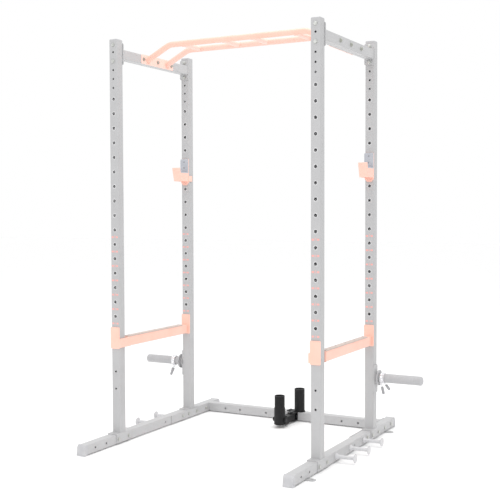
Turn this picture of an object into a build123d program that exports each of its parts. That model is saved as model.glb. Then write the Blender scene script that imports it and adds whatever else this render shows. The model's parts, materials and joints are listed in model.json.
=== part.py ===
from build123d import *
import os

# A free-standing power cage: four punched square uprights on two long feet, a bent double
# pull-up bar, pull-forward J-hooks and safety bars, storage pegs, and a landmine and a bar
# holder on the rear crossmember. Millimetres. X runs to the right, Y to the back, Z up. The
# origin is on the floor, in the middle of the cage.

# Driving sizes
SPAN_X = 1158.0          # between upright centres, left to right
SPAN_Y = 702.0           # between upright centres, front to rear
HEIGHT = 2134.0          # floor to the top of the upright caps
TUBE = 50.0              # outside of the square steel tube
WALL = 2.5
CORNER = 4.0
FOOT_LENGTH = 1356.0     # over the rubber end caps
FOOT_LIFT = 4.0          # the caps hold the foot tubes this far off the floor
PLATE = 4.0
HOLE_PITCH = 76.2
TOP_HOLE_Z = 1821.0
LARGE_HOLE_R = 8.5
SMALL_HOLE_R = 5.5
PIN_R = 7.5
PIN_LENGTH = 28.0        # short enough to leave its hole before the safety arm meets the post
GAP = 0.3                # air between pieces that move apart

# Worked out from the driving sizes
HALF = TUBE / 2
UPRIGHT_X = SPAN_X / 2
UPRIGHT_Y = SPAN_Y / 2
FRONT_FACE = -UPRIGHT_Y - HALF      # front of the front uprights
REAR_FRONT_FACE = UPRIGHT_Y - HALF  # front of the rear uprights
FOOT_TOP = FOOT_LIFT + TUBE
FOOT_MIDDLE = FOOT_LIFT + HALF
CAP_TOP = 6.0
PLUG_WIDTH = TUBE - 2 * WALL - 0.4  # the part of a cap that pushes into a tube
LARGE_HOLES = [TOP_HOLE_Z - HOLE_PITCH * n for n in range(18)]
SMALL_HOLES = [2065.0 - 46.5 * n for n in range(5)]
FRONT_HOLES = [384.0, 292.0]  # a spare pair, low down on the front uprights only

# M10 hardware
BOLT_R = 5.0
HEX = 8.5                # half the distance across the flats
HEAD = 6.4
NUT = 8.0

os.makedirs("parts", exist_ok=True)


def save(name, pieces):
    """Writes one node, made of one solid or of several separate ones."""
    solids = [solid for piece in pieces for solid in piece.solids()]
    shape = solids[0] if len(solids) == 1 else Compound(children=solids)
    shape.label = name
    export_step(shape, f"parts/{name}.step")


def block(x, y, z):
    """A box that fills three ranges, each given as two ends in either order."""
    sizes = [abs(b - a) for a, b in (x, y, z)]
    middle = [(a + b) / 2 for a, b in (x, y, z)]
    return Pos(*middle) * Box(*sizes)


def rod(start, along, radius, length):
    """A cylinder that starts at a point and runs along a direction."""
    return Plane(origin=start, z_dir=along) * Cylinder(
        radius, length, align=(Align.CENTER, Align.CENTER, Align.MIN))


def square_tube(plane, centre, length, wide=TUBE, tall=TUBE):
    """A rounded steel tube, centred on a point and running along the plane's normal."""
    outer = RectangleRounded(wide, tall, CORNER)
    inner = RectangleRounded(wide - 2 * WALL, tall - 2 * WALL, CORNER - WALL)
    return Pos(*centre) * (plane * extrude(outer - inner, length / 2, both=True))


def profile(points, x):
    """A side profile, given as (y, z) points, extruded between two x values."""
    low, high = sorted(x)
    outline = Polyline(*[(y, z) for y, z in points], close=True)
    face = Plane(origin=(low, 0, 0), x_dir=(0, 1, 0), z_dir=(1, 0, 0)) * make_face(outline)
    return extrude(face, high - low, dir=(1, 0, 0))


def bolt(at, along, grip):
    """An M10 hex bolt with its head on the surface at a point, and its nut a grip away."""
    seat = Plane(origin=at, z_dir=along)
    shank = seat * Cylinder(BOLT_R, grip + NUT + 2, align=(Align.CENTER, Align.CENTER, Align.MIN))
    head = seat * extrude(RegularPolygon(HEX, 6, major_radius=False), -HEAD)
    nut = seat.offset(grip) * extrude(RegularPolygon(HEX, 6, major_radius=False), NUT)
    return [head + shank, nut - shank]


# Uprights: one continuous tube each, punched through front and back
def upright(side, end):
    x, y = side * UPRIGHT_X, end * UPRIGHT_Y
    bottom, top = FOOT_TOP + PLATE, HEIGHT - CAP_TOP
    tube = square_tube(Plane.XY, (x, y, (bottom + top) / 2), top - bottom)
    rows = [(z, LARGE_HOLE_R) for z in LARGE_HOLES]
    rows += [(z, SMALL_HOLE_R) for z in SMALL_HOLES + [RAIL_BOLT_TOP]]
    if end < 0:
        rows += [(z, SMALL_HOLE_R) for z in FRONT_HOLES]
    return tube - [rod((x, y - TUBE, z), (0, 1, 0), r, 2 * TUBE) for z, r in rows]


def upright_cap(side, end):
    """A moulded plug with a softly domed head."""
    at = (side * UPRIGHT_X, end * UPRIGHT_Y, HEIGHT - CAP_TOP)
    head = extrude(RectangleRounded(TUBE, TUBE, CORNER), CAP_TOP)
    head = fillet(head.faces().sort_by(Axis.Z)[-1].edges(), CAP_TOP - 1)
    plug = extrude(RectangleRounded(PLUG_WIDTH, PLUG_WIDTH, CORNER - WALL), -14)
    hollow = Pos(0, 0, -14) * extrude(Rectangle(PLUG_WIDTH - 6, PLUG_WIDTH - 6), 12)
    return Pos(*at) * (head + plug - hollow)


# Top side rails, each welded to a bolted plate at both ends
RAIL_TOP = 2085.0
RAIL_MIDDLE = RAIL_TOP - HALF
RAIL_PLATE = 5.0
RAIL_PLATE_WIDTH = 58.0
RAIL_BOLT_TOP = 2103.5
RAIL_BOLT_LOW = SMALL_HOLES[1]
RAIL_PLATE_Z = (RAIL_BOLT_LOW - 14, RAIL_BOLT_TOP + 14)
RAIL_SPACE = SPAN_Y / 2 - HALF


def top_rail(side):
    length = 2 * (RAIL_SPACE - RAIL_PLATE)
    rail = square_tube(Plane.XZ, (side * UPRIGHT_X, 0, RAIL_MIDDLE), length)
    cuts = [rod((side * UPRIGHT_X - TUBE, y, RAIL_MIDDLE), (1, 0, 0), SMALL_HOLE_R, 2 * TUBE)
            for y in PULLUP_BOLTS]
    return rail - cuts


def rail_plate(side, end):
    x = side * UPRIGHT_X
    wide = RAIL_PLATE_WIDTH / 2
    plate = block((x - wide, x + wide), (end * RAIL_SPACE, end * (RAIL_SPACE - RAIL_PLATE)), RAIL_PLATE_Z)
    plate = fillet(plate.edges().filter_by(Axis.Y), 8)
    cuts = [rod((x, end * RAIL_SPACE - TUBE, z), (0, 1, 0), SMALL_HOLE_R, 2 * TUBE)
            for z in (RAIL_BOLT_TOP, RAIL_BOLT_LOW)]
    return plate - cuts


def rail_bolts(side, end):
    face = end * (UPRIGHT_Y + HALF)
    return [piece for z in (RAIL_BOLT_TOP, RAIL_BOLT_LOW)
            for piece in bolt((side * UPRIGHT_X, face, z), (0, -end, 0), TUBE + RAIL_PLATE)]


# Pull-up assembly: two bent bars welded to side plates, joined by four neutral grips
PULLUP_BOLTS = [-137.0, 0.0, 137.0]
PULLUP_PLATE_LENGTH = 312.0
PULLUP_PLATE_X = UPRIGHT_X - HALF
PULLUP_BAR_Y = 95.0
PULLUP_BAR_R = 15.5
PULLUP_Z = 2132.0
PULLUP_END_Z = 2060.0
PULLUP_BEND_X = 410.0
PULLUP_BEND_R = 90.0
GRIP_X = [-332.0, -86.0, 86.0, 332.0]
GRIP_R = 14.0


def pullup_plate(side):
    x = (side * PULLUP_PLATE_X, side * (PULLUP_PLATE_X - PLATE))
    half = PULLUP_PLATE_LENGTH / 2
    plate = block(x, (-half, half), (RAIL_TOP - TUBE, RAIL_TOP))
    plate = fillet(plate.edges().filter_by(Axis.X), 6)
    return plate - [rod((x[0] - 20, y, RAIL_MIDDLE), (1, 0, 0), SMALL_HOLE_R, 40) for y in PULLUP_BOLTS]


def pullup_bar(end):
    y = end * PULLUP_BAR_Y
    inner = PULLUP_PLATE_X - PLATE
    slope = (PULLUP_Z - PULLUP_END_Z) / (inner - PULLUP_BEND_X)
    past = 30.0
    low = PULLUP_END_Z - slope * past
    route = FilletPolyline((-inner - past, y, low), (-PULLUP_BEND_X, y, PULLUP_Z),
                           (PULLUP_BEND_X, y, PULLUP_Z), (inner + past, y, low), radius=PULLUP_BEND_R)
    start = Plane(origin=route @ 0, z_dir=route % 0)
    bar = sweep(start * (Circle(PULLUP_BAR_R) - Circle(PULLUP_BAR_R - WALL)), path=route)
    return bar & block((-inner, inner), (y - TUBE, y + TUBE), (RAIL_TOP - 2 * TUBE, HEIGHT + TUBE))


def pullup_grip(x):
    """A cross handle, coped to sit against both bars."""
    grip = rod((x, -PULLUP_BAR_Y, PULLUP_Z), (0, 1, 0), GRIP_R, 2 * PULLUP_BAR_Y)
    return grip - [rod((x - TUBE, end * PULLUP_BAR_Y, PULLUP_Z), (1, 0, 0), PULLUP_BAR_R, 2 * TUBE)
                   for end in (-1, 1)]


def pullup_bolts(side):
    return [piece for y in PULLUP_BOLTS
            for piece in bolt((side * (PULLUP_PLATE_X - PLATE), y, RAIL_MIDDLE), (side, 0, 0), TUBE + PLATE)]


# Feet: long tubes in moulded wedge caps, with floor anchor tabs welded underneath
CAP_LENGTH = 23.0
CAP_WIDTH = 52.0
CAP_HEIGHT = 55.0
TUBE_END = FOOT_LENGTH / 2 - CAP_LENGTH
FOOT_HOLES = [-590.0, -498.0, 58.0]
TAB_Y = 525.0
TAB_WIDTH = 36.0
TAB_REACH = 647.0
TAB_THICKNESS = 3.0


def foot(side):
    x = side * UPRIGHT_X
    tube = square_tube(Plane.XZ, (x, 0, FOOT_MIDDLE), 2 * TUBE_END)
    places = FOOT_HOLES + BASE_BOLTS + SPLICE_BOLTS
    return tube - [rod((x - TUBE, y, FOOT_MIDDLE), (1, 0, 0), SMALL_HOLE_R, 2 * TUBE) for y in places]


def foot_cap(side, end):
    x = (side * UPRIGHT_X - CAP_WIDTH / 2, side * UPRIGHT_X + CAP_WIDTH / 2)
    tip = FOOT_LENGTH / 2
    outline = [(TUBE_END, 0), (tip, 0), (tip - 4, 43), (tip - 13, CAP_HEIGHT), (TUBE_END, CAP_HEIGHT)]
    shell = profile([(end * y, z) for y, z in outline], x)
    shell = fillet(shell.edges().filter_by(Axis.X), 2)
    section = Plane(origin=(side * UPRIGHT_X, end * TUBE_END, FOOT_MIDDLE), z_dir=(0, -end, 0))
    plug = section * extrude(RectangleRounded(PLUG_WIDTH, PLUG_WIDTH, CORNER - WALL), 25)
    return shell + plug


def anchor_tab(side, end):
    """A thin steel ear, rounded at its outer end, with a hole for a floor bolt."""
    start, tip = UPRIGHT_X + 5, TAB_REACH
    round_x = tip - TAB_WIDTH / 2
    y = end * TAB_Y
    z = (FOOT_LIFT - TAB_THICKNESS, FOOT_LIFT)
    ear = block((side * start, side * round_x), (y - TAB_WIDTH / 2, y + TAB_WIDTH / 2), z)
    ear += rod((side * round_x, y, z[0]), (0, 0, 1), TAB_WIDTH / 2, TAB_THICKNESS)
    return ear - rod((side * round_x, y, z[0] - 5), (0, 0, 1), 6.0, 20)


# Base saddles: welded under each upright, straddling the foot
SADDLE_HALF = 61.0
SADDLE_LIP = 46.0
BASE_BOLTS = [end * UPRIGHT_Y + offset for end in (-1, 1) for offset in (-SADDLE_LIP, SADDLE_LIP)]


def base_saddle(side, end):
    """The rear saddles leave the inner wall to the crossmember's splice plate."""
    x, y = side * UPRIGHT_X, end * UPRIGHT_Y
    along = (y - SADDLE_HALF, y + SADDLE_HALF)
    outer = HALF + PLATE
    inner = outer if end < 0 else HALF
    top = block((x - side * inner, x + side * outer), along, (FOOT_TOP, FOOT_TOP + PLATE))
    walls = [block((x + side * HALF, x + side * outer), along, (FOOT_LIFT + 4, FOOT_TOP))]
    if end < 0:
        walls.append(block((x - side * HALF, x - side * outer), along, (FOOT_LIFT + 4, FOOT_TOP)))
    saddle = top + walls
    return saddle - [rod((x - TUBE, y + offset, FOOT_MIDDLE), (1, 0, 0), SMALL_HOLE_R, 2 * TUBE)
                     for offset in (-SADDLE_LIP, SADDLE_LIP)]


def base_bolts(side):
    outer = side * (UPRIGHT_X + HALF + PLATE)
    return [piece for y in BASE_BOLTS
            for piece in bolt((outer, y, FOOT_MIDDLE), (-side, 0, 0), TUBE + 2 * PLATE)]


# Rear crossmember: a punched tube welded between two long splice plates
CROSS_Y = 563.0
CROSS_END = UPRIGHT_X - HALF - PLATE
CROSS_HOLES = [-432.0, -332.0, -155.0, 332.0, 432.0]
SPLICE_Y = (118.0, 632.0)
SPLICE_BOLTS = [240.0, 504.0, 606.0]
CROSS_FRONT = CROSS_Y - HALF


def crossmember():
    tube = square_tube(Plane.YZ, (0, CROSS_Y, FOOT_MIDDLE), 2 * CROSS_END)
    through = CROSS_HOLES + LANDMINE_BOLTS
    cuts = [rod((x, CROSS_Y - TUBE, FOOT_MIDDLE), (0, 1, 0), SMALL_HOLE_R, 2 * TUBE) for x in through]
    cuts += [rod((x, y, FOOT_TOP - 10), (0, 0, 1), SMALL_HOLE_R, 20) for x, y in HOLDER_BOLTS]
    return tube - cuts


def splice_plate(side):
    x = (side * CROSS_END, side * (CROSS_END + PLATE))
    plate = block(x, SPLICE_Y, (FOOT_LIFT + 2, FOOT_TOP))
    rear_pair = [UPRIGHT_Y - SADDLE_LIP, UPRIGHT_Y + SADDLE_LIP]
    return plate - [rod((x[0] - 20, y, FOOT_MIDDLE), (1, 0, 0), SMALL_HOLE_R, 40)
                    for y in SPLICE_BOLTS + rear_pair]


def splice_bolts(side):
    outer = side * (UPRIGHT_X + HALF)
    return [piece for y in SPLICE_BOLTS
            for piece in bolt((outer, y, FOOT_MIDDLE), (-side, 0, 0), TUBE + PLATE)]


# Band pegs: turned steel posts with mushroom heads on the outside of each foot
BAND_PEG_Y = [-185.0, 0.0, 185.0]
BAND_PEG_END = 708.0


def band_peg(side, y):
    foot_side = UPRIGHT_X + HALF
    reach = BAND_PEG_END - foot_side
    outline = Polyline((0, 0), (17, 0), (17, 3), (9.5, 12), (9.5, reach - 12), (20, reach - 6),
                       (22, reach - 4), (22, reach - 2), (16, reach), (0, reach), close=True)
    post = revolve(make_face(Plane.XZ * outline), Axis.Z)
    return Plane(origin=(side * foot_side, y, FOOT_MIDDLE), z_dir=(side, 0, 0)) * post


# Weight storage pegs: a tube and its plate, welded to the outer face of the rear upright
PEG_Z = 334.0
PEG_R = 24.0
PEG_BORE_R = 21.0
PEG_END = 860.0
PEG_CAP_END = 872.0
PEG_PLATE = 5.0
PEG_PLATE_Z = (253.0, 403.0)
PEG_FACE = UPRIGHT_X + HALF
PEG_START = PEG_FACE + PEG_PLATE
PEG_FLARE = 10.0
FLANGE = (625.0, 631.0)  # a stop ring that keeps plates off the upright
FLANGE_R = 42.0


def peg_plate(side):
    x = (side * PEG_FACE, side * PEG_START)
    plate = block(x, (UPRIGHT_Y - HALF, UPRIGHT_Y + HALF), PEG_PLATE_Z)
    return fillet(plate.edges().filter_by(Axis.X), 8)


def weight_peg(side):
    """The tube, with its weld collar against the plate and its stop ring."""
    start = (side * PEG_START, UPRIGHT_Y, PEG_Z)
    tube = rod(start, (side, 0, 0), PEG_R, PEG_END - PEG_START)
    flare = Cone(PEG_R + 8, PEG_R, PEG_FLARE, align=(Align.CENTER, Align.CENTER, Align.MIN))
    tube += Plane(origin=start, z_dir=(side, 0, 0)) * flare
    tube += rod((side * FLANGE[0], UPRIGHT_Y, PEG_Z), (side, 0, 0), FLANGE_R, FLANGE[1] - FLANGE[0])
    return tube - rod(start, (side, 0, 0), PEG_BORE_R, PEG_END - PEG_START)


def weight_peg_cap(side):
    """A rounded plastic end with a plug that fills the tube's mouth."""
    seat = Plane(origin=(side * PEG_END, UPRIGHT_Y, PEG_Z), z_dir=(side, 0, 0))
    head = Cylinder(PEG_R, PEG_CAP_END - PEG_END, align=(Align.CENTER, Align.CENTER, Align.MIN))
    head = fillet(head.faces().sort_by(Axis.Z)[-1].edges(), 11)
    plug = Cylinder(PEG_BORE_R - 0.2, 20, align=(Align.CENTER, Align.CENTER, Align.MAX))
    return seat * (head + plug)


# Spring collars: wound wire round the peg, and two sprung levers with rubber grips. The left
# collar has been left a little further out on its peg than the right one.
COIL_START = {1: 637.0, -1: 661.0}
COIL_WIDTH = 26.0
COIL_INNER_R = PEG_R + 0.4
COIL_OUTER_R = 30.4
WIRE_R = 2.8
LEVER_START_R = 33.0
LEVER_GRIP_R = 6.5
LEVER_GRIP_LENGTH = 38.0
# Each lever: how far along the coil it leaves and ends, its angle there from straight down
# towards the rear, and the radius of its tip
LEVERS = {
    ("low", 1): (3, 10, -6, 16, 92),
    ("high", 1): (22, 33, 8, 38, 83),
    ("low", -1): (3, 15, -26, -34, 94),
    ("high", -1): (22, 37, 0, -11, 88),
}


def collar_coil(side):
    start = (side * COIL_START[side], UPRIGHT_Y, PEG_Z)
    ring = rod(start, (side, 0, 0), COIL_OUTER_R, COIL_WIDTH)
    return ring - rod(start, (side, 0, 0), COIL_INNER_R, COIL_WIDTH)


def collar_lever(name, side):
    """One wire tail, which leaves the coil and splays outwards, and its grip."""
    leave, end, leave_angle, end_angle, reach = LEVERS[name, side]
    down = Vector(0, 0, -1)
    root = Vector(side * (COIL_START[side] + leave), UPRIGHT_Y, PEG_Z)
    root += down.rotate(Axis.X, leave_angle) * LEVER_START_R
    tip = Vector(side * (COIL_START[side] + end), UPRIGHT_Y, PEG_Z)
    tip += down.rotate(Axis.X, end_angle) * reach
    along = (tip - root).normalized()
    bare = (tip - root).length - LEVER_GRIP_LENGTH
    grip = rod(root + along * bare, along, LEVER_GRIP_R, LEVER_GRIP_LENGTH)
    return rod(root, along, WIRE_R, bare) + fillet(grip.edges(), 3)


# J-hooks: a plate with a cheek inside the upright, a boxed arm and a raised lip, lined in plastic
HOOK_PLATE = 5.0
HOOK_BACK = REAR_FRONT_FACE - GAP
HOOK_FRONT = HOOK_BACK - HOOK_PLATE
HOOK_WIDTH = 50.0
HOOK_Z = (1386.0, 1540.0)
HOOK_PINS = [LARGE_HOLES[4], LARGE_HOLES[5]]
HOOK_FLOOR = 1456.0
HOOK_UNDER = 1408.0
CHEEK = 4.0
CHEEK_Z = (1408.0, 1440.0)
CHEEK_BACK = 356.0
HOOK_NOSE = 243.0        # front of the arm's underside
LIP_FRONT = 223.0
LIP_ROOT = 237.0         # where the lip meets the cradle floor
LIP_TOP = 1486.0
LINER = 6.0


def jhook(side):
    x = side * UPRIGHT_X
    plate = block((x - HALF, x + HALF), (HOOK_FRONT, HOOK_BACK), HOOK_Z)
    plate = chamfer(plate.edges().filter_by(Axis.Y).sort_by(Axis.Z)[:2], 14)
    near = x - side * (HALF + GAP)
    far = near - side * CHEEK
    cheek = block((near, far), (HOOK_FRONT, CHEEK_BACK), CHEEK_Z)
    band = block((far, x + side * HALF), (HOOK_FRONT, HOOK_BACK), CHEEK_Z)
    arm = profile([(HOOK_FRONT, HOOK_UNDER), (HOOK_NOSE, HOOK_UNDER), (LIP_FRONT, LIP_TOP - 2),
                   (LIP_FRONT + 7, LIP_TOP), (LIP_ROOT, HOOK_FLOOR), (HOOK_FRONT, HOOK_FLOOR)],
                  (x - HOOK_WIDTH / 2, x + HOOK_WIDTH / 2))
    pocket = block((x - HALF + 4, x + HALF - 4), (HOOK_FRONT - 4, HOOK_NOSE + 6),
                   (HOOK_UNDER - 1, HOOK_FLOOR - 5))
    return plate + band + cheek + (arm - pocket)


def jhook_liner(side):
    """Saves the bar's knurling: up the back plate, across the cradle floor and up the lip."""
    x = (side * UPRIGHT_X - HALF, side * UPRIGHT_X + HALF)
    outline = [(HOOK_FRONT, HOOK_FLOOR), (LIP_ROOT, HOOK_FLOOR), (LIP_ROOT - 5, LIP_TOP - 8),
               (LIP_ROOT, LIP_TOP - 8), (LIP_ROOT + 5, HOOK_FLOOR + LINER),
               (HOOK_FRONT - 8, HOOK_FLOOR + LINER), (HOOK_FRONT - 8, HOOK_Z[1] - 4), (HOOK_FRONT, HOOK_Z[1])]
    return profile(outline, x)


def hook_pins(side):
    return [rod((side * UPRIGHT_X, HOOK_BACK, z), (0, 1, 0), PIN_R, PIN_LENGTH) for z in HOOK_PINS]


# Safety bars: a tube on a rear plate, with an arm that passes inside the front upright
SAFETY_Z = (506.0, 620.0)
SAFETY_PLATE = 6.0
SAFETY_HALF_WIDTH = 27.0
ARM_Z = (513.0, 560.0)
ARM_THICKNESS = 9.7
ARM_END = FRONT_FACE + TUBE + 38
BAR_WIDTH = 30.0
BAR_Z = (509.0, 559.0)
SAFETY_PINS = [LARGE_HOLES[16], LARGE_HOLES[17]]
PAD = 6.0
SAFETY_FRONT = FRONT_FACE - GAP - SAFETY_PLATE
SAFETY_REAR = REAR_FRONT_FACE - GAP - SAFETY_PLATE


def safety_front(side):
    """The front plate, the arm along the upright's inner face and the plate that ends it."""
    x = side * UPRIGHT_X
    plate = block((x - SAFETY_HALF_WIDTH, x + SAFETY_HALF_WIDTH), (SAFETY_FRONT, SAFETY_FRONT + SAFETY_PLATE),
                  SAFETY_Z)
    plate = fillet(plate.edges().filter_by(Axis.Y), 5)
    near = side * (UPRIGHT_X - HALF - GAP)
    far = near - side * ARM_THICKNESS
    arm = block((near, far), (SAFETY_FRONT, ARM_END), ARM_Z)
    end = block((far, x + side * BAR_WIDTH / 2), (ARM_END - SAFETY_PLATE, ARM_END), ARM_Z)
    return plate + arm + end


def safety_tube(side):
    length = SAFETY_REAR - ARM_END
    centre = (side * UPRIGHT_X, ARM_END + length / 2, sum(BAR_Z) / 2)
    return square_tube(Plane.XZ, centre, length, BAR_WIDTH, BAR_Z[1] - BAR_Z[0])


def safety_rear(side):
    x = side * UPRIGHT_X
    plate = block((x - SAFETY_HALF_WIDTH, x + SAFETY_HALF_WIDTH), (SAFETY_REAR, SAFETY_REAR + SAFETY_PLATE),
                  SAFETY_Z)
    return fillet(plate.edges().filter_by(Axis.Y), 5)


def safety_pad(side):
    x = side * UPRIGHT_X
    pad = block((x - BAR_WIDTH / 2, x + BAR_WIDTH / 2), (ARM_END + 4, SAFETY_REAR - 55),
                (BAR_Z[1], BAR_Z[1] + PAD))
    return fillet(pad.edges().filter_by(Axis.Y).sort_by(Axis.Z)[-2:], 2)


def safety_pins(side):
    x = side * UPRIGHT_X
    starts = [SAFETY_FRONT + SAFETY_PLATE, SAFETY_REAR + SAFETY_PLATE]
    return [rod((x, y, z), (0, 1, 0), PIN_R, PIN_LENGTH) for y in starts for z in SAFETY_PINS]


# Bar holder: an open tube that stands a barbell on end, welded to a plate on the crossmember
HOLDER_X = 55.0
HOLDER_R = 30.0
HOLDER_BORE_R = 26.0
HOLDER_TOP = 190.0
HOLDER_BOLTS = [(-6.0, CROSS_Y - 12), (-6.0, CROSS_Y + 12)]
HOLDER_TONGUE = -20.0    # the free end of its plate
HOLDER_BASE = FOOT_TOP + PLATE


def holder_plate():
    strip = block((HOLDER_TONGUE, HOLDER_X), (CROSS_FRONT, CROSS_FRONT + TUBE), (FOOT_TOP, HOLDER_BASE))
    seat = rod((HOLDER_X, CROSS_Y, FOOT_TOP), (0, 0, 1), HOLDER_R + 4, PLATE)
    seat &= block((0, 2 * HOLDER_X), (CROSS_FRONT, CROSS_FRONT + TUBE), (FOOT_TOP, HOLDER_BASE))
    cuts = [rod((x, y, FOOT_TOP - 5), (0, 0, 1), SMALL_HOLE_R, 20) for x, y in HOLDER_BOLTS]
    return fillet(strip.edges().filter_by(Axis.Z).sort_by(Axis.X)[:2], 10) + seat - cuts


def holder_tube():
    tube = rod((HOLDER_X, CROSS_Y, HOLDER_BASE), (0, 0, 1), HOLDER_R, HOLDER_TOP - HOLDER_BASE)
    return tube - rod((HOLDER_X, CROSS_Y, HOLDER_BASE), (0, 0, 1), HOLDER_BORE_R, HOLDER_TOP)


def holder_bolt(at):
    """Screws down into a rivet nut inside the crossmember."""
    x, y = at
    head = Pos(x, y, HOLDER_BASE) * extrude(RegularPolygon(HEX, 6, major_radius=False), HEAD)
    return head + rod((x, y, HOLDER_BASE), (0, 0, -1), BOLT_R, 20)


# Landmine: a bracket on the crossmember, a swivelling yoke and a tilting bar sleeve
LANDMINE_X = 30.0
LANDMINE_BOLTS = [LANDMINE_X - 17, LANDMINE_X + 17]
SWIVEL_Y = CROSS_FRONT - 32
SWIVEL_PIN_R = 6.0
BARREL_R = 20.0
BARREL_Z = (14.4, 50.6)
EAR_Z = [(9.0, 14.0), (51.0, 56.0)]
EAR_HALF = 24.0
SLEEVE_Y = 350.0
SLEEVE_PIVOT_Z = 46.0
SLEEVE_R = 29.0
SOCKET_R = 31.5          # the thicker lower end of the sleeve
SOCKET_Z = (16.0, 114.0)
SLEEVE_BORE_R = 26.0
SLEEVE_TOP = 184.0
SLEEVE_FLOOR = 74.0
YOKE_INNER = SOCKET_R + GAP
YOKE_OUTER = YOKE_INNER + 4
YOKE_Z = (14.0, 58.0)
YOKE_BACK = 392.0        # clears the socket's foot as it tilts
TILT_PIN_R = 5.0


def landmine_base():
    x = LANDMINE_X
    plate = block((x - HALF, x + HALF), (CROSS_FRONT - 5, CROSS_FRONT), (5, 57))
    plate = fillet(plate.edges().filter_by(Axis.Y), 5)
    for z in EAR_Z:
        plate += block((x - EAR_HALF, x + EAR_HALF), (SWIVEL_Y, CROSS_FRONT - 5), z)
        plate += rod((x, SWIVEL_Y, z[0]), (0, 0, 1), EAR_HALF, z[1] - z[0])
    plate -= rod((x, SWIVEL_Y, 0), (0, 0, 1), SWIVEL_PIN_R, 60)
    return plate - [rod((bx, CROSS_Y - TUBE, FOOT_MIDDLE), (0, 1, 0), SMALL_HOLE_R, 2 * TUBE)
                    for bx in LANDMINE_BOLTS]


def swivel_pin():
    """A headed clevis pin, held down through both ears."""
    low, high = EAR_Z[0][0] - 5, EAR_Z[1][1]
    pin = rod((LANDMINE_X, SWIVEL_Y, low), (0, 0, 1), SWIVEL_PIN_R, high - low)
    return pin + rod((LANDMINE_X, SWIVEL_Y, high), (0, 0, 1), 10, 5)


def landmine_bolts():
    return [piece for x in LANDMINE_BOLTS
            for piece in bolt((x, CROSS_FRONT - 5, FOOT_MIDDLE), (0, 1, 0), TUBE + 5)]


def landmine_yoke():
    """A box arm with a round end for the swivel pin, a back web and two cheeks, welded up."""
    x = LANDMINE_X
    arm = rod((x, SWIVEL_Y, BARREL_Z[0]), (0, 0, 1), BARREL_R, BARREL_Z[1] - BARREL_Z[0])
    arm += block((x - BARREL_R, x + BARREL_R), (YOKE_BACK, SWIVEL_Y), BARREL_Z)
    yoke = arm + block((x - YOKE_OUTER, x + YOKE_OUTER), (YOKE_BACK, YOKE_BACK + 4), YOKE_Z)
    for s in (-1, 1):
        cheek = rod((x + s * YOKE_INNER, SLEEVE_Y, SLEEVE_PIVOT_Z), (s, 0, 0), 14, 4)
        cheek += block((x + s * YOKE_INNER, x + s * YOKE_OUTER), (SLEEVE_Y, YOKE_BACK + 4), YOKE_Z)
        yoke += cheek
    yoke -= rod((x, SWIVEL_Y, 0), (0, 0, 1), SWIVEL_PIN_R + 0.05, 60)
    return yoke - rod((x - TUBE, SLEEVE_Y, SLEEVE_PIVOT_Z), (1, 0, 0), TILT_PIN_R, 2 * TUBE)


def tilt_pin():
    """A shouldered bolt through both cheeks and the sleeve's solid foot."""
    start = (LANDMINE_X - YOKE_OUTER, SLEEVE_Y, SLEEVE_PIVOT_Z)
    pin = rod(start, (1, 0, 0), TILT_PIN_R, 2 * YOKE_OUTER)
    for s in (-1, 1):
        end = Plane(origin=(LANDMINE_X + s * YOKE_OUTER, SLEEVE_Y, SLEEVE_PIVOT_Z), z_dir=(s, 0, 0))
        pin += end * extrude(RegularPolygon(HEX, 6, major_radius=False), HEAD - 1)
    return pin


def landmine_sleeve():
    """An open tube over a thicker socket with a rounded, solid foot."""
    socket = rod((LANDMINE_X, SLEEVE_Y, SOCKET_Z[0]), (0, 0, 1), SOCKET_R, SOCKET_Z[1] - SOCKET_Z[0])
    socket = fillet(socket.faces().sort_by(Axis.Z)[0].edges(), 8)
    sleeve = socket + rod((LANDMINE_X, SLEEVE_Y, SOCKET_Z[1]), (0, 0, 1), SLEEVE_R, SLEEVE_TOP - SOCKET_Z[1])
    sleeve -= rod((LANDMINE_X, SLEEVE_Y, SLEEVE_FLOOR), (0, 0, 1), SLEEVE_BORE_R, SLEEVE_TOP)
    return sleeve - rod((LANDMINE_X - TUBE, SLEEVE_Y, SLEEVE_PIVOT_Z), (1, 0, 0), TILT_PIN_R + 0.05, 2 * TUBE)


SIDES = [("left", -1), ("right", 1)]
ENDS = [("front", -1), ("rear", 1)]
CORNERS = [(side, end) for _, side in SIDES for _, end in ENDS]

for side_name, side in SIDES:
    for end_name, end in ENDS:
        save(f"upright_{end_name}_{side_name}", [upright(side, end)])
    save(f"top_rail_{side_name}", [top_rail(side)])
    save(f"foot_{side_name}", [foot(side)])
    save(f"band_pegs_{side_name}", [band_peg(side, y) for y in BAND_PEG_Y])
    save(f"weight_peg_{side_name}", [weight_peg(side)])
    save(f"collar_coil_{side_name}", [collar_coil(side)])
    for name in ("low", "high"):
        save(f"collar_lever_{name}_{side_name}", [collar_lever(name, side)])
    save(f"jhook_{side_name}", [jhook(side)])
    save(f"jhook_liner_{side_name}", [jhook_liner(side)])
    save(f"jhook_pins_{side_name}", hook_pins(side))
    save(f"safety_front_{side_name}", [safety_front(side)])
    save(f"safety_tube_{side_name}", [safety_tube(side)])
    save(f"safety_rear_{side_name}", [safety_rear(side)])
    save(f"safety_pad_{side_name}", [safety_pad(side)])
    save(f"safety_pins_{side_name}", safety_pins(side))

for end_name, end in ENDS:
    save(f"base_saddles_{end_name}", [base_saddle(side, end) for _, side in SIDES])
    save(f"pullup_bar_{end_name}", [pullup_bar(end)])

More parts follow.
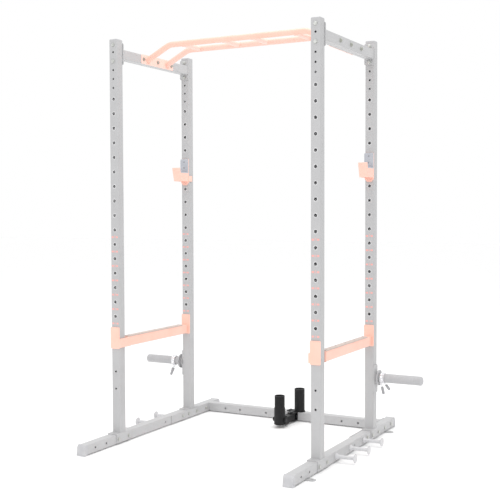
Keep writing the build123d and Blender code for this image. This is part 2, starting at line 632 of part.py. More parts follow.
save("upright_caps", [upright_cap(side, end) for side, end in CORNERS])
save("foot_caps", [foot_cap(side, end) for side, end in CORNERS])
save("anchor_tabs", [anchor_tab(side, end) for side, end in CORNERS])
save("top_rail_plates", [rail_plate(side, end) for side, end in CORNERS])
save("top_rail_bolts", [piece for side, end in CORNERS for piece in rail_bolts(side, end)])
save("pullup_plates", [pullup_plate(side) for _, side in SIDES])
save("pullup_grips", [pullup_grip(x) for x in GRIP_X])
save("pullup_bolts", [piece for _, side in SIDES for piece in pullup_bolts(side)])
save("base_bolts", [piece for _, side in SIDES for piece in base_bolts(side) + splice_bolts(side)])
save("crossmember", [crossmember()])
save("splice_plates", [splice_plate(side) for _, side in SIDES])
save("peg_plates", [peg_plate(side) for _, side in SIDES])
save("weight_peg_caps", [weight_peg_cap(side) for _, side in SIDES])
save("holder_plate", [holder_plate()])
save("holder_tube", [holder_tube()])
save("landmine_base", [landmine_base()])
save("crossmember_bolts", landmine_bolts() + [holder_bolt(at) for at in HOLDER_BOLTS])
save("landmine_swivel_pin", [swivel_pin()])
save("landmine_yoke", [landmine_yoke()])
save("landmine_tilt_pin", [tilt_pin()])
save("landmine_sleeve", [landmine_sleeve()])
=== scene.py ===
import json
import math

import bmesh
import bpy
from mathutils import Matrix, Vector


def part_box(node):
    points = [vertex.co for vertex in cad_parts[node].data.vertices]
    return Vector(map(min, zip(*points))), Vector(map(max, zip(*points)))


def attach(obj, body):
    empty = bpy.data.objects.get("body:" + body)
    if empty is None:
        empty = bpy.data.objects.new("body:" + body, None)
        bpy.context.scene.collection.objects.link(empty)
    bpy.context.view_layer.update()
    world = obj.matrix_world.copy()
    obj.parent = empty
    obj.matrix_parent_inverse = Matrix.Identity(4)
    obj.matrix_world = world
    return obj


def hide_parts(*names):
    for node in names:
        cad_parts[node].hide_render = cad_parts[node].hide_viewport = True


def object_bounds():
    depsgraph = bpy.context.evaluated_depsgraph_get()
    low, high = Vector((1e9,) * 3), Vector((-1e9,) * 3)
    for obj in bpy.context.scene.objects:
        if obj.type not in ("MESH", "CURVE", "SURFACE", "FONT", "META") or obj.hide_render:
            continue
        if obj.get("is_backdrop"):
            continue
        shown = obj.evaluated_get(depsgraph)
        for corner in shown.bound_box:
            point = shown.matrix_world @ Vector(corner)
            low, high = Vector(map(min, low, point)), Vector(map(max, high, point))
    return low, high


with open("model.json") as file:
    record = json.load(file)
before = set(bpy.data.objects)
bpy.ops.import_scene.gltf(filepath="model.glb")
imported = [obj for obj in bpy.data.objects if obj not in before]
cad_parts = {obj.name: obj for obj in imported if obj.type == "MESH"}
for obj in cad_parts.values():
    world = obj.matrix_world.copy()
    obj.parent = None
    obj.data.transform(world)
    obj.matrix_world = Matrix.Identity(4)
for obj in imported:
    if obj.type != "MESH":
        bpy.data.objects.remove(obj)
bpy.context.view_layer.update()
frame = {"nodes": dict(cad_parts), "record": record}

# Uprights: four lengths of 50 mm square steel tube, laser punched through front and back, then
# powder coated: a thick baked skin with faint orange peel and a satin sheen. Pins have rubbed the
# paint round the holes, shoes have scuffed it near the floor, and the bore is painted near white:
# partly bright zinc, partly painted light that lifts the shade inside the holes.


def linear(code):
    """An sRGB hex colour as the linear colour that a shader takes."""
    parts = [int(code[i:i + 2], 16) / 255 for i in (1, 3, 5)]
    return [p / 12.92 if p <= 0.04045 else ((p + 0.055) / 1.055) ** 2.4 for p in parts] + [1.0]


def add(tree, kind, settings=None, links=None):
    """Adds one shader node, with its settings and its incoming links."""
    new = tree.nodes.new("ShaderNode" + kind)
    for name, value in (settings or {}).items():
        if isinstance(name, int) or name in new.inputs:
            new.inputs[name].default_value = value
        else:
            setattr(new, name, value)
    for name, source in (links or {}).items():
        tree.links.new(source, new.inputs[name])
    return new


def calc(tree, operation, *values):
    """One step of maths on sockets or plain numbers."""
    new = add(tree, "Math", {"operation": operation})
    for i, value in enumerate(values):
        if isinstance(value, (int, float)):
            new.inputs[i].default_value = value
        else:
            tree.links.new(value, new.inputs[i])
    return new.outputs[0]


def fade(tree, value, start, end, low=0.0, high=1.0):
    """Turns a value between start and end into one between low and high."""
    settings = {"From Min": start, "From Max": end, "To Min": low, "To Max": high}
    return add(tree, "MapRange", settings, {"Value": value}).outputs["Result"]


def noise(tree, place, size_mm, detail=3.0, roughness=0.5):
    """Noise whose blotches are about this many millimetres across."""
    settings = {"Scale": 1000 / size_mm, "Detail": detail, "Roughness": roughness}
    return add(tree, "TexNoise", settings, {"Vector": place}).outputs["Fac"]


def tint(tree, mask, base, over):
    """Mixes a colour or socket with another colour by a mask."""
    mix = add(tree, "Mix", {"data_type": "RGBA", 7: linear(over)}, {0: mask})
    if isinstance(base, str):
        mix.inputs[6].default_value = linear(base)
    else:
        tree.links.new(base, mix.inputs[6])
    return mix.outputs[2]


def start_material(name, **sockets):
    """A new material: its node tree, its shader and the object coordinates, in metres."""
    material = bpy.data.materials.new(name)
    material.use_nodes = True
    tree = material.node_tree
    shader = tree.nodes["Principled BSDF"]
    for socket, value in sockets.items():
        shader.inputs[socket.replace("_", " ")].default_value = value
    return material, tree, shader, add(tree, "TexCoord").outputs["Object"]


def bump(tree, shader, height, distance_mm, strength=0.3):
    """Raises the surface by a height socket."""
    new = add(tree, "Bump", {"Strength": strength, "Distance": distance_mm / 1000}, {"Height": height})
    tree.links.new(new.outputs["Normal"], shader.inputs["Normal"])


hole_pitch, top_hole, half_bore = 0.0762, 1.821, 0.0229
low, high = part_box("upright_front_right")
upright_x, upright_y = abs(low.x + high.x) / 2, abs(low.y + high.y) / 2


def powder_coat(name, colour, worn, roughness, holes=False):
    """Baked polyester powder. Real orange peel is about 1.5 mm; it is drawn at 3 mm to show."""
    material, tree, shader, place = start_material(name, Coat_Weight=0.15, Coat_Roughness=0.3)
    cloud = fade(tree, noise(tree, place, 90, 5, 0.6), 0.35, 0.75, 0.0, 0.7)
    paint = tint(tree, cloud, colour, worn)
    speck = noise(tree, place, 12, 6, 0.7)
    axes = add(tree, "SeparateXYZ", None, {"Vector": place}).outputs
    near_floor = fade(tree, axes["Z"], 0.12, 0.02)
    scuffs = calc(tree, "MULTIPLY", near_floor, fade(tree, speck, 0.56, 0.68, 0.0, 0.3))
    paint = tint(tree, scuffs, paint, "#9A9896")
    rough = fade(tree, speck, 0.3, 0.7, roughness - 0.07, roughness + 0.1)
    if holes:
        from_x, from_y = [calc(tree, "ABSOLUTE", calc(tree, "SUBTRACT", calc(tree, "ABSOLUTE", axis), centre))
                          for axis, centre in ((axes["X"], upright_x), (axes["Y"], upright_y))]
        from_z = calc(tree, "PINGPONG", calc(tree, "SUBTRACT", axes["Z"], top_hole), hole_pitch / 2)
        squares = calc(tree, "ADD", calc(tree, "POWER", from_x, 2.0), calc(tree, "POWER", from_z, 2.0))
        reach = calc(tree, "SQRT", squares)
        rows = calc(tree, "MULTIPLY", calc(tree, "GREATER_THAN", axes["Z"], 0.51),
                    calc(tree, "LESS_THAN", axes["Z"], 1.84))
        rubbed = calc(tree, "MULTIPLY", fade(tree, reach, 0.0135, 0.009), rows)
        rubbed = calc(tree, "MULTIPLY", rubbed, fade(tree, noise(tree, place, 5, 3), 0.35, 0.6))
        paint = tint(tree, rubbed, paint, "#E9E9EA")
        # Painted light: the inside of the tube, seen through the holes, is painted near white to lift its
        # shade.
        inside = calc(tree, "LESS_THAN", calc(tree, "MAXIMUM", from_x, from_y), half_bore)
        paint = tint(tree, inside, paint, "#FCFCFD")
        rough = calc(tree, "SUBTRACT", rough, calc(tree, "MULTIPLY", rubbed, 0.12))
    tree.links.new(paint, shader.inputs["Base Color"])
    tree.links.new(rough, shader.inputs["Roughness"])
    bump(tree, shader, noise(tree, place, 3, 2), 0.3, 0.25)
    return material


def coat(node, material):
    """Puts one material on every slot of a CAD node."""
    mesh = frame["nodes"][node].data
    mesh.materials.clear()
    mesh.materials.append(material)


upright_paint = powder_coat("grey_powder_on_punched_tube", "#B8B8B9", "#B1B1B2", 0.4, holes=True)
for corner in ("front_left", "front_right", "rear_left", "rear_right"):
    coat("upright_" + corner, upright_paint)

# Hole numbers: 14 mm numerals between bars that run across the front of each upright, between the
# lower pin holes, so both sides can be set alike. They are screen printed in pink ink, 0.1 mm thick.


def join(bm, part, matrix=None):
    """Adds one finished part to a piece's mesh, put in its place."""
    if matrix:
        bmesh.ops.transform(part, matrix=matrix, verts=part.verts)
    mesh = bpy.data.meshes.new("part")
    part.to_mesh(mesh)
    part.free()
    bm.from_mesh(mesh)
    bpy.data.meshes.remove(mesh)


def piece(name, bm, material, body="frame", replaced=(), slot=None, crease=32):
    """Makes an object of a finished mesh, smooth but for its creases, that rides on a body."""
    for face in bm.faces:
        face.smooth = True
    for edge in bm.edges:
        edge.smooth = edge.calc_face_angle(0.0) < math.radians(crease)
    mesh = bpy.data.meshes.new(name)
    bm.to_mesh(mesh)
    bm.free()
    mesh.materials.append(material)
    made = bpy.data.objects.new(name, mesh)
    bpy.context.scene.collection.objects.link(made)
    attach(made, body)
    if replaced:
        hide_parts(*replaced)
        slot = slot or slot_of(replaced[0])
    return made


def slot_of(node):
    """The material slot that the record gives a node."""
    return next(s["material_slot"] for s in frame["record"]["subparts"] if s["node"] == node)


def numeral(text, height):
    """One digit as a mesh, centred, facing -Y."""
    curve = bpy.data.curves.new("digit", "FONT")
    curve.body, curve.size, curve.extrude = text, height * 1.4, 0.0001
    curve.align_x, curve.align_y, curve.resolution_u = "CENTER", "CENTER", 3
    holder = bpy.data.objects.new("digit", curve)
    bpy.context.scene.collection.objects.link(holder)
    bpy.context.view_layer.update()
    mesh = bpy.data.meshes.new_from_object(holder.evaluated_get(bpy.context.evaluated_depsgraph_get()))
    bpy.data.objects.remove(holder)
    part = bmesh.new()
    part.from_mesh(mesh)
    bpy.data.meshes.remove(mesh)
    bmesh.ops.transform(part, matrix=Matrix.Rotation(math.pi / 2, 4, "X"), verts=part.verts)
    return part


pink_ink, tree, shader, place = start_material("pink_screen_ink", Roughness=0.5)
tree.links.new(tint(tree, fade(tree, noise(tree, place, 2, 4, 0.7), 0.45, 0.7), "#EFA9A2", "#E9B9B4"),
               shader.inputs["Base Color"])
for corner in ("front_left", "front_right", "rear_left", "rear_right"):
    low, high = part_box("upright_" + corner)
    bm = bmesh.new()
    for count in range(7):
        z = top_hole - hole_pitch * (15.5 - count)
        spot = Matrix.Translation(((low.x + high.x) / 2, low.y - 0.0001, z))
        join(bm, numeral(str(count + 1), 0.014), spot)
        for shift in (-0.0135, 0.0135):
            bar = bmesh.new()
            bmesh.ops.create_cube(bar, size=1.0, matrix=Matrix.Diagonal((0.0125, 0.0002, 0.009, 1.0)))
            join(bm, bar, spot @ Matrix.Translation((shift, 0, 0)))
    piece("numbers_" + corner, bm, pink_ink)

# Upright caps: square plugs moulded in polyethylene with a softly domed, spark-textured head.
# The plastic is a little darker and duller than the paint and takes a fine grain.


def moulded(name, colour, dark, roughness, grain_mm=1.5, lift=0.15):
    """Injection-moulded plastic with the eroded grain of its mould. Grain is drawn at 1.5 mm."""
    material, tree, shader, place = start_material(name)
    cloud = fade(tree, noise(tree, place, 40, 4), 0.35, 0.7)
    tree.links.new(tint(tree, cloud, colour, dark), shader.inputs["Base Color"])
    tree.links.new(fade(tree, noise(tree, place, 9, 4), 0.3, 0.7, roughness - 0.06, roughness + 0.08),
                   shader.inputs["Roughness"])
    bump(tree, shader, noise(tree, place, grain_mm, 2), lift, 0.3)
    return material


cap_plastic = moulded("grey_cap_plastic", "#BDBDBF", "#B4B4B7", 0.5)
coat("upright_caps", cap_plastic)

# Top side rails and their bolted end plates: the same square tube, welded all round to 5 mm laser
# cut plates and powder coated together. M10 zinc-plated bolts and nylon-insert nuts hold them.


def lathe(bm, outline, matrix, steps=48):
    """Spins an outline of (radius, height) points about Z and adds it to a mesh, in its place."""
    part = bmesh.new()
    rim = [part.verts.new((r, 0, z)) for r, z in outline]
    edges = [part.edges.new(pair) for pair in zip(rim, rim[1:])]
    bmesh.ops.spin(part, geom=rim + edges, axis=(0, 0, 1), cent=(0, 0, 0), angle=math.tau, steps=steps,
                   use_merge=True)
    bmesh.ops.remove_doubles(part, verts=part.verts, dist=1e-6)
    bmesh.ops.recalc_face_normals(part, faces=part.faces)
    join(bm, part, matrix)


def aim(start, along):
    """The placement that puts the origin at start and turns Z along a direction."""
    turn = Vector(along).to_track_quat("Z", "Y").to_matrix().to_4x4()
    return Matrix.Translation(Vector(start)) @ turn


def bead(bm, start, end, radius=0.0022):
    """A straight weld bead, with a ripple every 2.5 mm as the welder's pool froze."""
    start, end = Vector(start), Vector(end)
    length = (end - start).length
    count = max(4, round(length / 0.00125))
    outline = [(radius * (0.84, 1.0)[i % 2], length * (i + 0.5) / count) for i in range(count)]
    lathe(bm, [(0, 0)] + outline + [(0, length)], aim(start, end - start), 8)


def frame_weld(bm, centre, u, v, radius=0.0022):
    """Four beads round the end of a square tube, whose half sides are u and v."""
    centre, u, v = Vector(centre), Vector(u), Vector(v)
    corners = [centre - u - v, centre + u - v, centre + u + v, centre - u + v]
    for i in range(4):
        bead(bm, corners[i], corners[(i + 1) % 4], radius)


def ring_weld(bm, centre, along, reach, radius=0.0022):
    """A bead round a bar or a tube."""
    turns = [i * math.tau / 8 for i in range(9)]
    lathe(bm, [(reach + radius * math.cos(t), radius * math.sin(t)) for t in turns], aim(centre, along), 40)


def hexagon(bm, matrix, across, height):
    """A forged hexagon, its corners turned off by a cone."""
    part = bmesh.new()
    corner = across / math.sqrt(3)
    outline = [(0, 0), (corner, 0), (corner, height * 0.82), (across * 0.46, height), (0, height)]
    rim = [part.verts.new((r, 0, z)) for r, z in outline]
    edges = [part.edges.new(pair) for pair in zip(rim, rim[1:])]
    bmesh.ops.spin(part, geom=rim + edges, axis=(0, 0, 1), cent=(0, 0, 0), angle=math.tau, steps=12,
                   use_merge=True)
    bmesh.ops.remove_doubles(part, verts=part.verts, dist=1e-6)
    for vert in part.verts:
        turn = (math.atan2(vert.co.y, vert.co.x) + math.pi / 6) % (math.pi / 3) - math.pi / 6
        flat = across / 2 / math.cos(turn)
        if vert.co.xy.length > flat:
            vert.co.xy = vert.co.xy.normalized() * flat
    bmesh.ops.recalc_face_normals(part, faces=part.faces)
    join(bm, part, matrix)


def solids(node):
    """The boxes of a node's separate solids, each as its lowest and highest corner."""
    bm = bmesh.new()
    bm.from_mesh(frame["nodes"][node].data)
    bmesh.ops.remove_doubles(bm, verts=bm.verts, dist=1e-5)
    boxes, waiting = [], set(bm.verts)
    while waiting:
        group, edge = [], [waiting.pop()]
        while edge:
            vert = edge.pop()
            group.append(vert.co)
            near = {link.other_vert(vert) for link in vert.link_edges} & waiting
            waiting -= near
            edge += near
        boxes.append(tuple(Vector([pick(co[i] for co in group) for i in range(3)]) for pick in (min, max)))
    bm.free()
    return boxes


def hardware(name, node, material):
    """Detailed M10 bolts, washers and nuts, or short button screws, where a node has plain ones."""
    washer = [(0.0052, 0), (0.0098, 0), (0.0101, 0.0003), (0.0101, 0.0011), (0.0096, 0.0015), (0, 0.0015)]
    bm = bmesh.new()
    boxes = solids(node)
    nuts = [(low + high) / 2 for low, high in boxes if max(high - low) < 0.021]
    for low, high in boxes:
        size, centre = high - low, (low + high) / 2
        if max(size) < 0.021:
            continue
        axis = max(range(3), key=lambda i: size[i])
        out = Vector([1.0 if i == axis else 0.0 for i in range(3)])
        nut = min(nuts, key=lambda n: (n - centre).length) if size[axis] > 0.03 else low
        if (nut - centre).dot(out) > 0:
            out = -out
        head = centre + out * size[axis] / 2
        seat = aim(head - out * 0.0064, out)
        if size[axis] < 0.03:
            lathe(bm, [(0.0085, 0), (0.0085, 0.0006), (0.0076, 0.002), (0.0058, 0.0031), (0.003, 0.0034),
                       (0.0028, 0.0016), (0, 0.0014)], seat, 20)
            continue
        lathe(bm, washer, seat, 16)
        hexagon(bm, seat @ Matrix.Translation((0, 0, 0.0014)), 0.0165, 0.005)
        seat = aim(head - out * (size[axis] - 0.010), -out)
        lathe(bm, washer, seat, 16)
        hexagon(bm, seat @ Matrix.Translation((0, 0, 0.0014)), 0.0165, 0.0056)
        lathe(bm, [(0.0072, 0.0062), (0.0072, 0.0076), (0.0064, 0.0082), (0.0048, 0.0082)], seat, 16)
        lathe(bm, [(0.0046, 0.0078), (0.0046, 0.0094), (0.0038, 0.01), (0, 0.01)], seat, 12)
    piece(name, bm, material, replaced=(node,))


def zinc(name, colour, roughness, worn="#B9BBB7"):
    """Bright zinc plating over forged steel: soft blotches of thickness and fine handling marks."""
    material, tree, shader, place = start_material(name, Metallic=1.0)
    cloud = fade(tree, noise(tree, place, 6, 5, 0.65), 0.3, 0.7)
    tree.links.new(tint(tree, cloud, colour, worn), shader.inputs["Base Color"])
    tree.links.new(fade(tree, noise(tree, place, 2, 4, 0.7), 0.3, 0.7, roughness - 0.08, roughness + 0.14),
                   shader.inputs["Roughness"])
    bump(tree, shader, noise(tree, place, 1.5, 3), 0.06, 0.3)
    return material


grey_paint = powder_coat("grey_powder_coat", "#BDBDBE", "#B6B6B7", 0.4)
bolt_zinc = zinc("zinc_plated_hardware", "#DADBD8", 0.38)
bm = bmesh.new()
for side in ("left", "right"):
    coat("top_rail_" + side, grey_paint)
    low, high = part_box("top_rail_" + side)
    middle = (low + high) / 2
    for y in (low.y, high.y):
        frame_weld(bm, (middle.x, y, middle.z), (0.025, 0, 0), (0, 0, 0.025))
piece("top_rail_welds", bm, grey_paint, slot="frame_paint")
coat("top_rail_plates", grey_paint)
hardware("top_rail_hardware", "top_rail_bolts", bolt_zinc)

# Pull-up assembly: two bent 31 mm tubes and four cross handles, welded up with their side plates
# and powder coated salmon. Each side plate is held to its rail by three M10 bolts.
bar_paint = powder_coat("salmon_powder_coat", "#FFC9B8", "#F9BEAB", 0.42)
# Painted highlight: the cross handles, and the side plates with them, take a lighter copy of the salmon
# powder.
salmon_highlight_paint = powder_coat("salmon_powder_coat_painted_highlight", "#FFD9CD", "#FCCCBD", 0.42)
# Painted shade: the rear bar takes a darker copy of the same salmon powder.
salmon_shade_paint = powder_coat("salmon_powder_coat_painted_shade", "#FCCDBF", "#F8C1B0", 0.42)
coat("pullup_bar_front", bar_paint)
coat("pullup_bar_rear", salmon_shade_paint)
coat("pullup_plates", salmon_highlight_paint)
coat("pullup_grips", salmon_highlight_paint)
bm = bmesh.new()
for low, high in solids("pullup_grips"):
    for y in (low.y + 0.0085, high.y - 0.0085):
        ring_weld(bm, ((low.x + high.x) / 2, y, (low.z + high.z) / 2), (0, 1, 0), 0.0132)
for node in ("pullup_bar_front", "pullup_bar_rear"):
    low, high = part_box(node)
    for x in (low.x, high.x):
        ring_weld(bm, (x, (low.y + high.y) / 2, 2.0585), (1, 0, 0), 0.0168)
piece("pullup_welds", bm, bar_paint, slot="accent_paint")
hardware("pullup_hardware", "pullup_bolts", zinc("dull_zinc_hardware", "#C4C6BE", 0.4, "#A4A69E"))

# Feet: long square tubes in the same grey powder, with thin anchor ears welded underneath and
# wedge-shaped end caps moulded in a tough, slightly rubbery plastic that grips the floor.
foot_plastic = moulded("foot_cap_plastic", "#C4C4C6", "#B8B8BB", 0.58, 2.0, 0.25)
for side in ("left", "right"):
    coat("foot_" + side, grey_paint)
coat("foot_caps", foot_plastic)
coat("anchor_tabs", grey_paint)

# Base saddles: plates folded over each foot and welded round the upright. Two M10 bolts run
# through each one, and three more hold the splice plates of the crossmember.
for end in ("front", "rear"):
    coat("base_saddles_" + end, grey_paint)
bm = bmesh.new()
for corner in ("front_left", "front_right", "rear_left", "rear_right"):
    low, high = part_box("upright_" + corner)
    frame_weld(bm, ((low.x + high.x) / 2, (low.y + high.y) / 2, low.z), (0.025, 0, 0), (0, 0.025, 0))
piece("upright_foot_welds", bm, grey_paint, slot="frame_paint")
hardware("base_hardware", "base_bolts", bolt_zinc)

# Rear crossmember: a punched tube with a long splice plate welded to each end, all in the grey
# powder. The splice plates lie along the inside of the feet and are bolted through them.
coat("crossmember", grey_paint)
coat("splice_plates", grey_paint)
bm = bmesh.new()
low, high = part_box("crossmember")
middle = (low + high) / 2
for x in (low.x, high.x):
    frame_weld(bm, (x, middle.y, middle.z), (0, 0.025, 0), (0, 0, 0.023))
piece("crossmember_welds", bm, grey_paint, slot="frame_paint")

# Band pegs: turned steel posts with mushroom heads, coated in a paler, smoother powder than the
# frame. Bands rub a duller waist just behind each head.
peg_paint = powder_coat("pale_peg_powder", "#D2D2D4", "#C6C6C8", 0.36)
for side, way in (("left", -1), ("right", 1)):
    bm = bmesh.new()
    for low, high in solids("band_pegs_" + side):
        start = low.x if way > 0 else high.x
        reach = high.x - low.x
        outline = [(0.0165, 0), (0.017, 0.0008), (0.0168, 0.0024), (0.0145, 0.0052), (0.0118, 0.0084),
                   (0.0101, 0.0112), (0.0095, 0.0135), (0.0094, 0.03), (0.0092, reach - 0.02),
                   (0.0095, reach - 0.0135), (0.0112, reach - 0.0115), (0.016, reach - 0.009),
                   (0.0203, reach - 0.0062), (0.0219, reach - 0.0045), (0.0219, reach - 0.003),
                   (0.0206, reach - 0.0014), (0.0175, reach - 0.0004), (0.012, reach), (0, reach)]
        lathe(bm, outline, aim((start, (low.y + high.y) / 2, (low.z + high.z) / 2), (way, 0, 0)), 32)
    piece("band_posts_" + side, bm, peg_paint, replaced=("band_pegs_" + side,))

# Storage pegs: 48 mm tubes welded to plates on the rear uprights, each with a stop ring. The
# powder is scored in rings by the plates that slide on and off. Moulded domes close the ends.


def scored_coat(name, colour, worn):
    """Grey powder with rings rubbed by steel bores. A real score is 0.2 mm; drawn at 2 mm to show."""
    material, tree, shader, place = start_material(name, Coat_Weight=0.1, Coat_Roughness=0.3)
    stretched = add(tree, "Mapping", {"Scale": (1.0, 0.08, 0.08)}, {"Vector": place}).outputs["Vector"]
    rings = fade(tree, noise(tree, stretched, 2.0, 3, 0.7), 0.5, 0.66)
    cloud = fade(tree, noise(tree, place, 30, 4), 0.4, 0.7)
    score = calc(tree, "MULTIPLY", rings, cloud)
    tree.links.new(tint(tree, score, colour, worn), shader.inputs["Base Color"])
    tree.links.new(fade(tree, score, 0.0, 1.0, 0.42, 0.28), shader.inputs["Roughness"])
    bump(tree, shader, noise(tree, place, 3, 2), 0.25, 0.25)
    return material


sleeve_paint = scored_coat("scored_peg_powder", "#B2B2B4", "#C6C6C8")
coat("peg_plates", grey_paint)
bm_caps, bm_welds = bmesh.new(), bmesh.new()
for side, way in (("left", -1), ("right", 1)):
    low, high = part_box("weight_peg_" + side)
    y, z = (low.y + high.y) / 2, (low.z + high.z) / 2
    root, tip = (low.x, high.x) if way > 0 else (high.x, low.x)
    length = high.x - low.x
    outline = [(0.0322, 0), (0.0318, 0.001), (0.0268, 0.0062), (0.0245, 0.0092), (0.024, 0.0105),
               (0.024, 0.0158), (0.0408, 0.016), (0.0418, 0.0168), (0.042, 0.0177), (0.042, 0.0203),
               (0.0418, 0.0212), (0.0408, 0.022), (0.024, 0.022), (0.024, length - 0.0012),
               (0.0234, length), (0.021, length)]
    bm = bmesh.new()
    lathe(bm, outline, aim((root, y, z), (way, 0, 0)), 64)
    piece("plate_sleeve_" + side, bm, sleeve_paint, replaced=("weight_peg_" + side,))
    ring_weld(bm_welds, (root + way * 0.0155, y, z), (1, 0, 0), 0.0248)
    ring_weld(bm_welds, (root + way * 0.0004, y, z), (1, 0, 0), 0.0322)
    plate = [corner for corner in solids("peg_plates") if corner[0].x * way > 0][0]
    face = plate[0].x if way > 0 else plate[1].x
    for edge in (plate[0].y + 0.001, plate[1].y - 0.001):
        bead(bm_welds, (face, edge, plate[0].z + 0.012), (face, edge, plate[1].z - 0.012), 0.0018)
    angles = [step * math.pi / 20 for step in range(10)]
    arc = [(0.0239 * math.cos(angle), 0.0119 * math.sin(angle)) for angle in angles]
    lathe(bm_caps, [(0.021, 0), (0.0236, 0)] + arc + [(0, 0.0118)], aim((tip, y, z), (way, 0, 0)), 48)
piece("plate_sleeve_domes", bm_caps, cap_plastic, replaced=("weight_peg_caps",))
piece("plate_sleeve_welds", bm_welds, grey_paint, slot="frame_paint")

# Spring collars: 5.6 mm chromed spring wire wound into four and a half turns, whose tails splay
# out as two levers with ribbed rubber grips. Squeezing them together loosens the coil.


def wire(bm, points, radius):
    """Round wire along a row of points, with closed ends."""
    curve = bpy.data.curves.new("wire", "CURVE")
    curve.dimensions, curve.bevel_depth, curve.bevel_resolution, curve.use_fill_caps = "3D", radius, 3, True
    line = curve.splines.new("POLY")
    line.points.add(len(points) - 1)
    for spot, point in zip(line.points, points):
        spot.co = (*point, 1.0)
    holder = bpy.data.objects.new("wire", curve)
    bpy.context.scene.collection.objects.link(holder)
    bpy.context.view_layer.update()
    mesh = bpy.data.meshes.new_from_object(holder.evaluated_get(bpy.context.evaluated_depsgraph_get()))
    bpy.data.objects.remove(holder)
    part = bmesh.new()
    part.from_mesh(mesh)
    bpy.data.meshes.remove(mesh)
    bmesh.ops.remove_doubles(part, verts=part.verts, dist=1e-6)
    bmesh.ops.recalc_face_normals(part, faces=part.faces)
    join(bm, part)


chrome, tree, shader, place = start_material("chromed_spring_wire", Metallic=1.0)
tree.links.new(tint(tree, fade(tree, noise(tree, place, 8, 4), 0.4, 0.75), "#F2F2F4", "#D8D8DC"),
               shader.inputs["Base Color"])
tree.links.new(fade(tree, noise(tree, place, 2, 5, 0.7), 0.35, 0.7, 0.07, 0.22), shader.inputs["Roughness"])
grip_rubber = moulded("grey_lever_rubber", "#B0B0B3", "#A3A3A6", 0.75, 1.5, 0.2)
for side, way in (("left", -1), ("right", 1)):
    low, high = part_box("collar_coil_" + side)
    y, z = (low.y + high.y) / 2, (low.z + high.z) / 2
    first, last = (low.x + 0.003, high.x - 0.003) if way > 0 else (high.x - 0.003, low.x + 0.003)
    spiral = []
    for i in range(109):
        turn = math.tau * 4.5 * i / 108
        x = first + (last - first) * i / 108
        spiral.append((x, y - 0.0275 * math.sin(turn), z - 0.0275 * math.cos(turn)))
    bm = bmesh.new()
    wire(bm, spiral, 0.0028)
    piece("wound_coil_" + side, bm, chrome, "collar_" + side, ("collar_coil_" + side,))
    for name in ("low", "high"):
        node = f"collar_lever_{name}_{side}"
        corners = [vert.co.copy() for vert in frame["nodes"][node].data.vertices]
        corners.sort(key=lambda co: (co.yz - Vector((y, z))).length)
        root, tip = sum(corners[:12], Vector()) / 12, sum(corners[-12:], Vector()) / 12
        along = (tip - root).normalized()
        spread = (root.yz - Vector((y, z))).normalized()
        lead = Vector((root.x, y + spread.x * 0.0275, z + spread.y * 0.0275))
        round_peg = Vector((0, -spread.y, spread.x))
        hook = lead - round_peg * math.copysign(0.012, along.dot(round_peg))
        bend = [hook, lead.lerp(hook, 0.4), lead.lerp(root, 0.5), root + along * 0.006]
        bm = bmesh.new()
        wire(bm, bend + [root.lerp(tip, 0.5), tip - along * 0.004], 0.0028)
        piece(f"wire_lever_{name}_{side}", bm, chrome, f"collar_lever_{name}_{side}", (node,), "spring_wire")
        ribs = [(0.0029, 0.0), (0.0056, 0.0002), (0.0064, 0.001)]
        for rib in range(11):
            base = 0.002 + 0.0035 * rib
            ribs += [(0.0071, base), (0.0071, base + 0.002), (0.0065, base + 0.0024), (0.0065, base + 0.0031)]
        ribs += [(0.0069, 0.0412), (0.006, 0.043), (0.0038, 0.0439), (0, 0.044)]
        bm = bmesh.new()
        lathe(bm, ribs, aim(tip - along * 0.044, along), 20)
        piece(f"lever_grip_{name}_{side}", bm, grip_rubber, f"collar_lever_{name}_{side}", slot="lever_grip")

# J-hooks: 5 mm plate with a welded box arm and lip, coated salmon, which hang on the rear uprights
# by two pins each. A milled UHMW liner, held by countersunk screws, saves the bar's knurling.


def screw(bm, at, along, radius=0.0042):
    """A countersunk screw with a hexagon socket, set flush."""
    hollow = [(radius, -0.0002), (radius * 0.95, 0.0004), (radius * 0.55, 0.0004), (radius * 0.5, -0.0006),
              (radius * 0.48, -0.0016), (0, -0.0018)]
    lathe(bm, hollow, aim(at, along), 18)


def rack_pins(name, node, body):
    """Turned pins with rounded noses, welded into their plate."""
    bm = bmesh.new()
    for low, high in solids(node):
        length = high.y - low.y
        outline = [(0.0075, 0), (0.0075, length - 0.004), (0.0071, length - 0.0022),
                   (0.0061, length - 0.0009), (0.0045, length), (0, length)]
        lathe(bm, outline, aim(((low.x + high.x) / 2, low.y, (low.z + high.z) / 2), (0, 1, 0)), 32)
    piece(name, bm, pin_zinc, body, (node,))


pin_zinc = zinc("zinc_plated_pins", "#C0C2BE", 0.28)
liner_plastic = moulded("blue_grey_liner", "#BCBEC4", "#B2B5BC", 0.42, 2.5, 0.08)
black_screws = zinc("black_oxide_screws", "#8A8A8C", 0.4, "#77777A")
hook_paint = powder_coat("salmon_hook_powder", "#FFCDBD", "#FAC1AF", 0.42)
for side in ("left", "right"):
    body = "jhook_" + side
    coat("jhook_" + side, hook_paint)
    coat("jhook_liner_" + side, liner_plastic)
    rack_pins("hook_rack_pins_" + side, "jhook_pins_" + side, body)
    low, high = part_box("jhook_liner_" + side)
    x = (low.x + high.x) / 2
    bm = bmesh.new()
    for height in (1.488, 1.522):
        screw(bm, (x, high.y - 0.008, height), (0, -1, 0))
    for shift in (-0.012, 0.012):
        screw(bm, (x + shift, 0.280, 1.462), (0, 0, 1))
    piece("liner_screws_" + side, bm, black_screws, body, slot="black_hardware")
    bm = bmesh.new()
    bead(bm, (low.x, high.y, 1.4085), (high.x, high.y, 1.4085), 0.0018)
    for edge in (low.x, high.x):
        bead(bm, (edge, high.y, 1.409), (edge, high.y, 1.455), 0.0012)
    piece("hook_welds_" + side, bm, hook_paint, body, slot="accent_paint")

# Safety bars: a 30 by 50 tube welded between plates whose pins drop into the uprights, in salmon
# powder. A screwed-down wear strip along the top takes the bar and is ribbed along its length.


